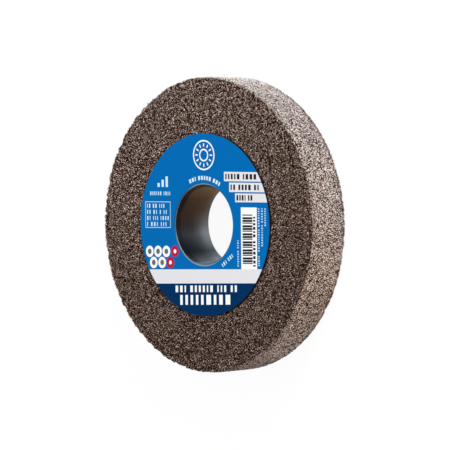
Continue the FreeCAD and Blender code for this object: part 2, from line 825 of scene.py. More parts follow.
@dataclass(frozen=True)
class CardFinish:
    """Card, printed or bare, pressed on to the grain so that a little of it shows through."""

    name: str
    colour: Colour
    roughness: float = 0.5
    specular: float = 0.02
    mottle: float = 0.05
    mottle_size: float = 1.8 * MM
    sheen_swing: float = 0.08
    sheen_size: float = 1.2 * MM
    relief_size: float = 0.9 * MM
    relief_depth: float = 0.05 * MM
    relief_strength: float = 0.25

    def build(self) -> bpy.types.Material:
        """Makes the finish: slightly uneven colour over a faintly bumpy sheet.

        Returns:
            The material.
        """
        sheet = NodeSheet(bpy.data.materials.new(self.name))
        duller = tuple(channel * (1 - self.mottle) for channel in self.colour)
        mottle = sheet.noise(self.mottle_size, detail=4.0)
        colour = sheet.mix(mottle, paint(*duller), paint(*self.colour))
        low, high = self.roughness - self.sheen_swing, self.roughness + self.sheen_swing
        rough = sheet.span(sheet.noise(self.sheen_size), low, high)
        relief = sheet.bump(sheet.noise(self.relief_size), self.relief_depth, self.relief_strength)
        return sheet.surface(self.specular, Base_Color=colour, Roughness=rough, Normal=relief)


class Ink(Enum):
    """The front blotter's colours, as its card's material slots in turn."""

    CARD = CardFinish("Card back", (0.70, 0.70, 0.68), 0.8, 0.1, 0.10)
    # The card's outer wall, painted dark blue as shade
    EDGE_SHADE = CardFinish("Card edge in painted shade", (0.010, 0.035, 0.075), 0.9, 0.02, 0.30)
    BLUE = CardFinish("Blue print", (0.0, 0.145, 0.455))
    NAVY = CardFinish("Navy print", (0.0, 0.028, 0.105))
    WHITE = CardFinish("White print", (0.93, 0.95, 0.95), mottle=0.02)
    PALE = CardFinish("Pale grey print", (0.770, 0.768, 0.800), mottle=0.02)
    BLACK = CardFinish("Black print", (0.016, 0.014, 0.016))
    RED = CardFinish("Red print", (0.51, 0.014, 0.055))
    GREY = CardFinish("Grey print", (0.15, 0.145, 0.15))
    FAINT = CardFinish("Faint blue print", (0.46, 0.70, 0.88))
    SMALL = CardFinish("Small white print", (0.66, 0.85, 0.95))
    LINE = CardFinish("Cut edge", (0.01, 0.12, 0.30))

    @property
    def number(self) -> int:
        """Its material slot on the card."""
        return list(Ink).index(self)


@dataclass
class BondRing:
    """The ring's own body: a lumpy bond that lies a little lower than the tips of its grains."""

    sizes: WheelSizes
    bed: float = 0.42 * MM
    open_step: float = 0.58 * MM
    hidden_step: float = 3.0 * MM
    turns: int = 660
    coarse_lump: float = 0.10 * MM
    coarse_cell: float = 1.1 * MM
    fine_lump: float = 0.10 * MM
    fine_cell: float = 0.6 * MM
    break_depth: float = 0.8 * MM
    break_cell: float = 1.4 * MM
    break_more: float = 0.15
    fray_depth: float = 0.75 * MM
    fray_cell: float = 0.75 * MM
    corner_reach: float = 1.8 * MM
    corner_full: float = 0.4
    tuck: float = 0.5 * MM

    def lumps(self, places: np.ndarray) -> np.ndarray:
        """How far the bond stands out of its mean surface: two layers of noise, less the breaks.

        Args:
            places: Points of the mean surface.

        Returns:
            The height at each, which stays under the bed's depth.
        """
        coarse = self.coarse_lump * lattice_noise(places, self.coarse_cell, NoiseField.COARSE_LUMPS)
        fine = self.fine_lump * lattice_noise(places, self.fine_cell, NoiseField.FINE_LUMPS)
        return coarse + fine - self.breaks(places)

    def breaks(self, places: np.ndarray) -> np.ndarray:
        """How far the ring's two sharp corners are broken back, the front one in larger pieces.

        The depth is lattice noise, cut off below nothing, times a share that is whole near the
        sharp corner and falls evenly to nothing with the distance from it.

        Args:
            places: Points of the mean surface.

        Returns:
            The depth at each.
        """
        size = self.sizes
        inwards = size.rim - np.hypot(places[:, 0], places[:, 1])
        downwards = size.half_width - np.abs(places[:, 2] - size.middle)
        distance = np.hypot(inwards, downwards) / self.corner_reach
        near = np.clip(1 + self.corner_full - distance, 0, 1)
        coarse = lattice_noise(places, self.break_cell, NoiseField.BROKEN_CORNER)
        broken = self.break_depth * np.clip(coarse + self.break_more, 0, 1)
        fine = lattice_noise(places, self.fray_cell, NoiseField.FRAYED_CORNER)
        frayed = self.fray_depth * np.clip(fine, 0, 1)
        return near * np.where(places[:, 2] > size.middle, broken, frayed)

    def outline(self) -> np.ndarray:
        """The ring's section: level under the blotters, and sunk by the bed's depth outside them.

        Returns:
            The outline, in long steps where it meets the bush's seat and in short ones elsewhere.
        """
        size = self.sizes
        under = size.blotter_edge - self.tuck
        foot = under + self.tuck / 2
        front, rear = size.front_face, size.rear_face
        rim, eased = size.rim - self.bed, size.corner / 2
        low, high = rear + self.bed, front - self.bed
        corners = [
            (size.seat, rear),
            (under, rear),
            (foot, low),
            (rim - eased, low),
            (rim, low + eased),
            (rim, high - eased),
            (rim - eased, high),
            (foot, high),
            (under, front),
            (size.seat, front),
        ]
        points = []
        for start, end in zip(corners, corners[1:] + corners[:1]):
            step = self.hidden_step if size.seat in (start[0], end[0]) else self.open_step
            start, end = np.array(start), np.array(end)
            count = max(1, round(float(np.linalg.norm(end - start)) / step))
            points.append(start + (end - start) * np.arange(count)[:, None] / count)
        return np.concatenate(points)

    def build(self) -> bpy.types.Object:
        """Makes the lumpy ring: each point moves along its outline's outward normal by the lumps.

        Points under the blotters stay, and those near their edges move by a share of the lumps.

        Returns:
            The ring.
        """
        size, outline = self.sizes, self.outline()
        places = turned_grid(outline, self.turns)
        ahead = np.roll(outline, -1, axis=0) - np.roll(outline, 1, axis=0)
        normal = np.stack([ahead[:, 1], -ahead[:, 0]], axis=1)
        normal /= np.linalg.norm(normal, axis=1, keepdims=True)
        outwards = turned_grid(normal, self.turns)
        lumps = self.lumps(places.reshape(-1, 3)).reshape(self.turns, -1)
        free = np.clip((outline[:, 0] - (size.blotter_edge - self.tuck)) / self.tuck, 0, 1)
        moved = places + outwards * (lumps * free)[..., None]
        ring = turned_piece("abrasive_body", moved, smooth=True)
        from_corner = outline[:, 0] - size.rim + size.corner
        dressing = np.clip(from_corner / (size.corner - self.bed), 0, 1)
        mark(ring, "dressing", np.tile(dressing, self.turns))
        ring.data.materials.append(BondFinish().build())
        return ring


class Stretch(Enum):
    """The three stretches of the ring's surface that carry a skin of grains."""

    FRONT = "front_grains"
    RIM = "rim_grains"
    REAR = "rear_grains"


@dataclass
class GrainSkin:
    """Separate angular grains, bedded side by side over one stretch of the ring."""

    sizes: WheelSizes
    bond: BondRing
    stretch: Stretch
    seed: int
    count: int = 48000
    grain: float = 0.215 * MM
    spread: float = 0.20
    squash: Range = (0.85, 1.18)
    push: float = 0.18
    rise: Range = (-0.35, 0.75)
    rim_lift: float = 0.25
    under_card: float = 0.8 * MM
    stray: float = 0.42
    dressed_from: float = -0.8 * MM
    dressed_to: float = 1.8 * MM
    dressed_waver: float = 0.7 * MM
    waver_cell: float = 1.3 * MM
    rear_margin: float = 1.0 * MM
    side_dressing: float = 0.25
    patch: float = 0.05
    patch_cell: float = 1.6 * MM
    evened_from: float = 0.78
    evening: float = 0.35
    # Directions in which the painted light is palest, in degrees
    front_painted_light_swing: float = 105.0
    rim_painted_light_swing: float = 90.0
    # A painted shadow on the grain along the card's edge, on the print's right
    card_shadow_reach: float = 0.9 * MM
    card_shadow_depth: float = 0.75
    card_shadow_onset: float = 2.0
    map_inset: float = 0.15

    CORNERS = np.array([[1, 0, -0.35], [-0.5, 0.87, -0.35], [-0.5, -0.87, -0.35], [0, 0, 1.05]])
    FACES = np.array([[0, 1, 3], [1, 2, 3], [2, 0, 3], [2, 1, 0]])

    def round_rim(self, share: np.ndarray, wander: np.ndarray) -> tuple[np.ndarray, ...]:
        """Lays the spiral over the rim's cylinder and its two rounded corners, evenly along them.

        Args:
            share: How far along the spiral each grain lies, from 0 to 1.
            wander: How far it strays along and round the rim, as shares of the spacing.

        Returns:
            Radius, height, stray angle, and the normal's parts away from the axis and along it.
        """
        size = self.sizes
        arc = size.corner * math.pi / 2
        straight = 2 * (size.half_width - size.corner)
        length = straight + 2 * arc
        wander = wander * math.sqrt(length * FULL_TURN * size.rim / self.count)
        run = np.clip(share * length + wander[0], 0, length)
        bend = np.clip(run / arc, 0, 1) - 1 + np.clip((run - arc - straight) / arc, 0, 1)
        away, along = np.cos(bend * math.pi / 2), np.sin(bend * math.pi / 2)
        flat = np.clip(run - arc, 0, straight) - straight / 2
        radius = size.rim - size.corner + size.corner * away
        height = size.middle + flat + size.corner * along
        return radius, height, wander[1] / size.rim, away, along

    def over_side(self, share: np.ndarray, wander: np.ndarray) -> tuple[np.ndarray, ...]:
        """Lays the spiral over a side in equal areas, r^2 growing evenly from the card to the rim.

        Args:
            share: How far along the spiral each grain lies, from 0 to 1.
            wander: How far it strays outwards and round, as shares of the spacing.

        Returns:
            Radius, height, stray angle, and the normal's parts away from the axis and along it.
        """
        size = self.sizes
        inner = size.blotter_edge - self.under_card
        outer = size.rim - size.corner
        area = math.pi * (outer**2 - inner**2)
        wander = wander * math.sqrt(area / self.count)
        radius = np.sqrt(inner**2 + share * (outer**2 - inner**2)) + wander[0]
        upwards = 1.0 if self.stretch is Stretch.FRONT else -1.0
        height = np.full(self.count, size.middle + upwards * size.half_width)
        along = np.full(self.count, upwards)
        return radius, height, wander[1] / radius, np.zeros(self.count), along

    def bedding(self, rng: np.random.Generator) -> tuple[np.ndarray, np.ndarray]:
        """Spreads points evenly over the stretch, with the normal at each.

        They lie on a spiral whose angle steps by the golden angle, and each then strays by a
        share of their spacing.

        Args:
            rng: The skin's random numbers.

        Returns:
            Places and outward normals, one a row.
        """
        index = np.arange(self.count)
        wander = rng.uniform(-self.stray, self.stray, (2, self.count))
        spread = self.round_rim if self.stretch is Stretch.RIM else self.over_side
        radius, height, stray, away, along = spread((index + 0.5) / self.count, wander)
        angle = index * GOLDEN_ANGLE + stray
        round_about = np.stack([np.cos(angle), np.sin(angle)], axis=1)
        places = np.column_stack([round_about * radius[:, None], height])
        normals = np.column_stack([round_about * away[:, None], along])
        return places, normals

    def shapes(self, rng: np.random.Generator) -> np.ndarray:
        """Broken crystals: four-faced bodies with uneven axes and pushed corners, turned at random.

        The turn is the rotation matrix of a random unit quaternion.

        Args:
            rng: The skin's random numbers.

        Returns:
            Corner offsets, as grains by 4 by 3.
        """
        length = self.grain * np.exp(rng.normal(0, self.spread, (self.count, 1, 1)))
        axes = rng.uniform(*self.squash, (self.count, 1, 3))
        pushes = rng.uniform(-self.push, self.push, (self.count, len(self.CORNERS), 3))
        spin = rng.normal(size=(4, self.count))
        w, x, y, z = spin / np.linalg.norm(spin, axis=0)
        turn = np.array(
            [
                [1 - 2 * (y * y + z * z), 2 * (x * y - z * w), 2 * (x * z + y * w)],
                [2 * (x * y + z * w), 1 - 2 * (x * x + z * z), 2 * (y * z - x * w)],
                [2 * (x * z - y * w), 2 * (y * z + x * w), 1 - 2 * (x * x + y * y)],
            ]
        )
        return np.einsum("ijn,nkj->nki", turn, (self.CORNERS[None] + pushes) * axes * length)

    def pressed(self, corners: np.ndarray) -> np.ndarray:
        """Flattens whatever stands out of the ring's nominal form on to it.

        In the section, a corner's offset from the rounding's centre is shortened to the
        rounding's radius wherever it reaches past it.

        Args:
            corners: Places, one a row.

        Returns:
            The places, none outside the ring.
        """
        size = self.sizes
        tiny = 1e-9
        radius = np.hypot(corners[:, 0], corners[:, 1])
        above = corners[:, 2] - size.middle
        out = radius - (size.rim - size.corner)
        up = np.abs(above) - (size.half_width - size.corner)
        reach = np.hypot(np.maximum(out, 0), np.maximum(up, 0))
        shrink = np.minimum(1, size.corner / np.maximum(reach, tiny))
        out = np.where(out > 0, out * shrink, out)
        up = np.where(up > 0, up * shrink, up)
        kept = (size.rim - size.corner + out) / np.maximum(radius, tiny)
        height = np.sign(above) * (size.half_width - size.corner + up) + size.middle
        return np.column_stack([corners[:, :2] * kept[:, None], height])

    def cells(self) -> np.ndarray:
        """Gives each grain a square cell of the bake map, with all its faces on one triangle there.

        Returns:
            The map's place for each face corner.
        """
        across = math.ceil(math.sqrt(self.count))
        row, column = np.divmod(np.arange(self.count), across)
        corner = np.stack([column, row], axis=1)[:, None, None] / across
        near, far = self.map_inset, 1 - self.map_inset
        triangle = np.array([[near, near], [far, near], [near, far]])[None, None] / across
        return np.broadcast_to(corner + triangle, (self.count, len(self.FACES), 3, 2)).reshape(-1, 2)

    def dressing(self, places: np.ndarray) -> np.ndarray:
        """How far the dressing tool has cut each grain: a little on the sides, and all on the rim.

        It grows with the depth below the nearer side, which wavers and is less at the rear.

        Args:
            places: The grains' places.

        Returns:
            A share from 0 to 1 for each.
        """
        size = self.sizes
        below_front, above_rear = size.front_face - places[:, 2], places[:, 2] - size.rear_face
        depth = np.minimum(below_front, above_rear - self.rear_margin)
        waver = lattice_noise(places, self.waver_cell, self.seed + NoiseField.DRESSING)
        depth = depth + self.dressed_waver * waver
        share = np.clip((depth - self.dressed_from) / (self.dressed_to - self.dressed_from), 0, 1)
        if self.stretch is Stretch.RIM:
            return share * share * (3 - 2 * share)
        return self.side_dressing * share

    def painted_light(self, places: np.ndarray) -> np.ndarray:
        """Where each grain lies on the ring's painted light, which is paler towards one side.

        It is half of one more than the place's share of the rim's radius along the direction in
        which the painted light is palest. The rear side is even.

        Args:
            places: The grains' places.

        Returns:
            A share from 0 to 1 for each.
        """
        if self.stretch is Stretch.REAR:
            return np.full(self.count, 0.5)
        front = self.stretch is Stretch.FRONT
        swing = math.radians(self.front_painted_light_swing if front else self.rim_painted_light_swing)
        along = places[:, 0] * math.cos(swing) + places[:, 1] * math.sin(swing)
        return 0.5 + 0.5 * along / self.sizes.rim

    def painted_card_shadow(self, places: np.ndarray) -> np.ndarray:
        """How much of its tone each grain keeps in the painted shadow along the card's edge, on the
        print's right.

        Args:
            places: The grains' places.

        Returns:
            A share from 0 to 1 for each.
        """
        if self.stretch is not Stretch.FRONT:
            return np.ones(self.count)
        radius = np.hypot(places[:, 0], places[:, 1])
        # The painted shadow is strongest at the card's edge and on its right
        near = np.clip(1 - (radius - self.sizes.blotter_edge) / self.card_shadow_reach, 0, 1)
        right = np.clip(self.card_shadow_onset * places[:, 0] / radius, 0, 1)
        return 1 - self.card_shadow_depth * near * right

    def marks(self, places: np.ndarray, rng: np.random.Generator) -> dict[str, np.ndarray]:
        """What the finish reads of each grain. Where the rim's painted light is brightest, its dark
        tones are raised.

        Args:
            places: The grains' places.
            rng: The skin's random numbers.

        Returns:
            Each attribute's value from 0 to 1 for each grain, by the attribute's name.
        """
        patches = self.patch * lattice_noise(places, self.patch_cell, self.seed)
        # The tone is darkened by a painted shadow along the card's edge
        tone = (rng.random(self.count) + patches) * self.painted_card_shadow(places)
        glaze, warmth = rng.random((2, self.count))
        # Painted light: paler towards one side of the ring, darker towards the other
        painted_light = self.painted_light(places)
        # Where the rim's painted light is brightest, its dark tones are raised too
        if self.stretch is Stretch.RIM:
            evened = np.clip((painted_light - self.evened_from) / (1 - self.evened_from), 0, 1)
            tone = np.clip(tone, 0, 1) ** (1 - self.evening * evened)
        dressing = self.dressing(places)
        names = ("tone", "glaze", "warmth", "dressing", "painted_light")
        return dict(zip(names, np.clip((tone, glaze, warmth, dressing, painted_light), 0, 1)))

    def build(self) -> bpy.types.Object:
        """Beds each grain part of the way into the bond, and gives it a tone and glaze of its own.

        Returns:
            The skin.
        """
        rng = np.random.default_rng(self.seed)
        places, normals = self.bedding(rng)
        shapes = self.shapes(rng)
        tallest = np.einsum("nkj,nj->nk", shapes, normals).max(axis=1)
        bed = places - normals * self.bond.bed
        lift = self.rim_lift if self.stretch is Stretch.RIM else 0.0
        height = self.bond.lumps(bed) + (rng.uniform(*self.rise, self.count) + lift) * tallest
        centres = bed + normals * height[:, None]
        corners = self.pressed((centres[:, None] + shapes).reshape(-1, 3))
        kinds = len(self.CORNERS)
        faces = (np.arange(self.count)[:, None, None] * kinds + self.FACES[None]).reshape(-1, 3)
        skin = build_mesh(self.stretch.value, corners, faces, self.cells())
        for name, values in self.marks(places, rng).items():
            mark(skin, name, np.repeat(values, kinds))
        return skin


@dataclass
class BushLining:
    """The moulded lining of the bore, with rounded lips and a flare at each mouth."""

    sizes: WheelSizes
    lip_rounding: float = 0.12 * MM
    throat_rounding: float = 0.8 * MM
    step: float = 0.6 * MM
    turns: int = 300

    def build(self) -> bpy.types.Object:
        """Turns the lining's section round the bore.

        Returns:
            The lining.
        """
        size = self.sizes
        low, high = size.bush_rear, size.bush_front
        corners = [
            (size.seat, low),
            (size.seat, high),
            (size.mouth, high),
            (size.bore, high - size.flare_depth),
            (size.bore, low + size.flare_depth),
            (size.mouth, low),
        ]
        lip, throat = self.lip_rounding, self.throat_rounding
        outline = rounded_loop(corners, [lip, lip, lip, throat, throat, lip], self.step)
        bush = turned_piece("bush_lining", turned_grid(outline, self.turns), smooth=True)
        bush.data.materials.append(BushFinish(size).build())
        return bush


@dataclass(frozen=True)
class BlockRow:
    """A straight row of plain blocks in groups.

    It has the middles of its two ends, its height, how many blocks each group has, its ink, and
    the share of a group's length that is inked.
    """

    start: Spot
    end: Spot
    height: float
    groups: Groups
    ink: Ink
    cover: float


@dataclass(frozen=True)
class CurvedRow:
    """A row of blocks on a circle of that radius, its ends in degrees from the print's right."""

    radius: float
    ends: Range
    height: float
    groups: Groups
    ink: Ink
    cover: float


@dataclass(frozen=True)
class PaleBox:
    """A pale box that runs off the card's right edge, and the row of blocks in it."""

    left: float
    low: float
    high: float
    row_end: float
    groups: Groups

    @property
    def middle(self) -> float:
        """Height of its middle."""
        return (self.low + self.high) / 2


@dataclass
class Print:
    """Shapes printed on the front blotter, each over those before it, in millimetres."""

    shapes: list[tuple[np.ndarray, Ink]] = field(default_factory=list)
    rng: np.random.Generator = field(default_factory=lambda: np.random.default_rng(PRINT_SEED))
    slant: float = 0.0176
    lean: float = -0.0121
    taper: float = -0.00096
    block_widths: tuple[float, ...] = (0.7, 1.0, 1.3)
    group_gap: float = 0.6

    def lay(self, corners: list | np.ndarray, ink: Ink) -> None:
        """Adds a shape, set a little askew and out of square as the whole print is on its card.

        A point moves to the right by slant times its height, and up by lean plus taper times its
        height, times its place across. The corners are put in anticlockwise order by the sign of
        the shape's shoelace area.

        Args:
            corners: The shape's corners, in order.
            ink: Its colour.
        """
        points = np.array(corners, float)
        across, height = points[:, 0], points[:, 1]
        right, up = self.slant * height, (self.lean + self.taper * height) * across
        points = points + np.column_stack([right, up])
        ahead = np.roll(points, -1, axis=0)
        area = (points[:, 0] * ahead[:, 1] - ahead[:, 0] * points[:, 1]).sum()
        self.shapes.append((points if area > 0 else points[::-1], ink))

    def panel(self, left: float, low: float, right: float, high: float, ink: Ink) -> None:
        """Adds an upright rectangle."""
        self.lay([(left, low), (right, low), (right, high), (left, high)], ink)

    def disc(self, centre: Spot, radius: float, ink: Ink, sides: int = 32) -> None:
        """Adds a disc."""
        angle = np.arange(sides) * FULL_TURN / sides
        self.lay(np.column_stack([np.cos(angle), np.sin(angle)]) * radius + centre, ink)

    def spans(self, groups: Groups, cover: float) -> list[Range]:
        """Shares a row out among blocks of uneven width, in groups.

        Args:
            groups: How many blocks each group has.
            cover: The share of a group's length that is inked.

        Returns:
            Each block's start and end, as shares of the row's length.
        """
        spans, run = [], 0.0
        for blocks in groups:
            for width in self.rng.choice(self.block_widths, blocks):
                spans.append((run, run + width * cover))
                run += width * cover + 1 - cover
            run += self.group_gap
        length = spans[-1][1]
        return [(start / length, end / length) for start, end in spans]

    def straight(self, row: BlockRow) -> None:
        """Adds a straight row of blocks.

        Args:
            row: The row.
        """
        first, last = np.array(row.start, float), np.array(row.end, float)
        along = last - first
        tall = np.array([-along[1], along[0]]) / float(np.linalg.norm(along)) * row.height / 2
        for left, right in self.spans(row.groups, row.cover):
            one, other = first + along * left, first + along * right
            self.lay([one - tall, other - tall, other + tall, one + tall], row.ink)

    def curved(self, row: CurvedRow) -> None:
        """Adds a row of blocks that follows a circle round the bore.

        Args:
            row: The row.
        """
        half = row.height / 2
        first, last = row.ends
        for share in self.spans(row.groups, row.cover):
            angle = np.radians(first + (last - first) * np.array(share))
            rays = np.column_stack([np.cos(angle), np.sin(angle)])
            low, high = rays * (row.radius - half), rays * (row.radius + half)
            self.lay([low[0], low[1], high[1], high[0]], row.ink)

    def wheel_mark(self, centre: Spot, radius: float, ink: Ink, back: Ink) -> None:
        """Adds a plain wheel seen from its side: a rim, a hub, and short strokes between them.

        Args:
            centre: The wheel's centre.
            radius: Its radius, which its other sizes are shares of.
            ink: Its colour.
            back: The colour behind it.
        """
        rim_inside, hub, hub_inside = 0.90, 0.42, 0.32
        strokes, stroke_from, stroke_to, half_stroke = 12, 0.56, 0.78, 0.045
        rim_sides, hub_sides = 64, 48
        self.disc(centre, radius, ink, rim_sides)
        self.disc(centre, radius * rim_inside, back, rim_sides)
        for angle in np.arange(strokes) * FULL_TURN / strokes:
            ray = np.array([math.cos(angle), math.sin(angle)])
            side = np.array([-ray[1], ray[0]]) * radius * half_stroke
            inner, outer = ray * radius * stroke_from + centre, ray * radius * stroke_to + centre
            self.lay([inner - side, outer - side, outer + side, inner + side], ink)
        self.disc(centre, radius * hub, ink, hub_sides)
        self.disc(centre, radius * hub_inside, back, hub_sides)


@dataclass
class FrontPrint(Print):
    """The front blotter's layout: fields of colour, rows of plain blocks and a plain wheel mark.

    Fields that run off the card reach the sheet's edge, which lies past the card's own.
    """

    sheet_edge: float = 45.0
    band: Range = (-24.69, -18.75)
    foot_rows: tuple[BlockRow, ...] = (
        BlockRow((-17.1, -26.95), (19.5, -26.95), 2.8, (3, 6, 3, 2), Ink.WHITE, 0.5),
        BlockRow((-14.3, -31.6), (15.6, -31.6), 4.15, (9,), Ink.WHITE, 0.56),
    )
    boxes: tuple[PaleBox, ...] = (
        PaleBox(left=12.55, low=18.5, high=22.5, row_end=31.2, groups=(5, 4)),
        PaleBox(left=15.55, low=13.98, high=17.95, row_end=32.6, groups=(2, 4, 2)),
        PaleBox(left=18.95, low=9.67, high=13.4, row_end=28.9, groups=(4, 2)),
    )
    box_inset: float = 0.8
    box_row_height: float = 2.3
    box_row_cover: float = 0.58
    panel_sides: Range = (22.2, 31.35)
    panel_high: float = 7.5
    stripes: int = 19
    stripe_sides: Range = (23.1, 28.8)
    stripe_ends: Range = (4.5, -17.1)
    stripe_shares: tuple[float, ...] = (0.42, 0.80, 0.62)
    panel_row: BlockRow = BlockRow((29.8, 3.5), (29.8, -17.6), 1.4, (6, 7), Ink.BLACK, 0.6)
    frame_low_left: Spot = (-35.4, -1.35)
    frame_high_right: Spot = (-19.7, 9.7)
    frame_line: float = 0.32
    left_rows: tuple[BlockRow, ...] = (
        BlockRow((-34.3, 7.85), (-23.55, 7.85), 1.7, (2, 2, 3), Ink.SMALL, 0.42),
        BlockRow((-34.3, 5.3), (-22.15, 5.3), 1.7, (2, 2, 1, 2), Ink.SMALL, 0.42),
        BlockRow((-34.3, 2.75), (-20.95, 2.75), 1.7, (2, 3, 4), Ink.SMALL, 0.42),
        BlockRow((-34.3, 0.25), (-22.4, 0.25), 1.7, (1, 3, 3), Ink.SMALL, 0.42),
        BlockRow((-32.2, 13.1), (-19.9, 13.1), 1.6, (6, 4), Ink.SMALL, 0.45),
    )
    bars_corner: Spot = (-27.6, 15.8)
    bar_pitch: float = 2.5
    bar_width: float = 1.4
    bar_heights: tuple[float, ...] = (1.6, 3.0, 4.4)
    mark_centre: Spot = (0.7, 29.4)
    mark_radius: float = 6.4
    arc_row: CurvedRow = CurvedRow(19.8, (114.0, 59.6), 1.7, (3, 5, 3), Ink.SMALL, 0.6)
    white_discs: tuple[Spot, ...] = (
        (-32.9, -11.2),
        (-27.7, -11.2),
        (-22.55, -11.2),
        (-30.45, -15.85),
        (-25.2, -15.85),
    )
    red_discs: tuple[Spot, ...] = ((-17.25, -11.15), (-20.15, -15.85))
    disc_radius: float = 2.4
    grey_centre: float = 1.15
    white_centre: float = 0.85
    right_rows: tuple[BlockRow, ...] = (
        BlockRow((11.1, -17.2), (17.1, -12.85), 1.6, (3, 3), Ink.SMALL, 0.5),
        BlockRow((20.4, -6.5), (20.4, -17.6), 0.9, (4, 7), Ink.FAINT, 0.5),
        BlockRow((32.4, 7.15), (32.4, -11.25), 0.9, (8, 10), Ink.FAINT, 0.5),
        BlockRow((32.4, -13.15), (32.4, -17.35), 0.9, (5,), Ink.FAINT, 0.5),
        BlockRow((34.3, 7.15), (34.3, -8.95), 0.9, (6, 9), Ink.FAINT, 0.5),
        BlockRow((36.1, 7.15), (36.1, -0.35), 0.9, (8,), Ink.FAINT, 0.5),
    )

    def foot(self) -> None:
        """Lays the navy foot with its two rows, and the pale band above it."""
        edge, (low, high) = self.sheet_edge, self.band
        self.panel(-edge, -edge, edge, low, Ink.NAVY)
        self.panel(-edge, low, edge, high, Ink.PALE)
        for row in self.foot_rows:
            self.straight(row)

    def pale_boxes(self) -> None:
        """Lays the pale boxes on the right, each with its row of black blocks."""
        for box in self.boxes:
            self.panel(box.left, box.low, self.sheet_edge, box.high, Ink.PALE)
            start, end = (box.left + self.box_inset, box.middle), (box.row_end, box.middle)
            height, cover = self.box_row_height, self.box_row_cover
            self.straight(BlockRow(start, end, height, box.groups, Ink.BLACK, cover))

    def striped_panel(self) -> None:
        """Lays the white panel, its black stripes of three thicknesses, and the row beside them."""
        left, right = self.panel_sides
        self.panel(left, self.band[1], right, self.panel_high, Ink.WHITE)
        high, low = self.stripe_ends
        pitch = (high - low) / self.stripes
        left, right = self.stripe_sides
        for index in range(self.stripes):
            top = high - index * pitch
            thick = pitch * self.stripe_shares[index * index % len(self.stripe_shares)]
            self.panel(left, top - thick, right, top, Ink.BLACK)
        self.straight(self.panel_row)

    def left_side(self) -> None:
        """Lays the thin frame round four rows, and above it a row under three rising bars."""
        (left, low), (right, high) = self.frame_low_left, self.frame_high_right
        line = self.frame_line
        self.panel(left, low, right, high, Ink.FAINT)
        self.panel(left + line, low + line, right - line, high - line, Ink.BLUE)
        for row in self.left_rows:
            self.straight(row)
        first, low = self.bars_corner
        for index, height in enumerate(self.bar_heights):
            left = first + self.bar_pitch * index
            self.panel(left, low, left + self.bar_width, low + height, Ink.SMALL)

    def discs(self) -> None:
        """Lays the white discs with grey centres and the red ones with white centres."""
        for centre in self.white_discs:
            self.disc(centre, self.disc_radius, Ink.WHITE)
            self.disc(centre, self.grey_centre, Ink.GREY)
        for centre in self.red_discs:
            self.disc(centre, self.disc_radius, Ink.RED)
            self.disc(centre, self.white_centre, Ink.WHITE)

    def lay_out(self) -> list[tuple[np.ndarray, Ink]]:
        """Lays the whole print out.

        Returns:
            Each shape's corners and its ink, the lowest first.
        """
        self.foot()
        self.pale_boxes()
        self.striped_panel()
        self.left_side()
        self.wheel_mark(self.mark_centre, self.mark_radius, Ink.WHITE, Ink.BLUE)
        self.curved(self.arc_row)
        self.discs()
        for row in self.right_rows:
            self.straight(row)
        return self.shapes


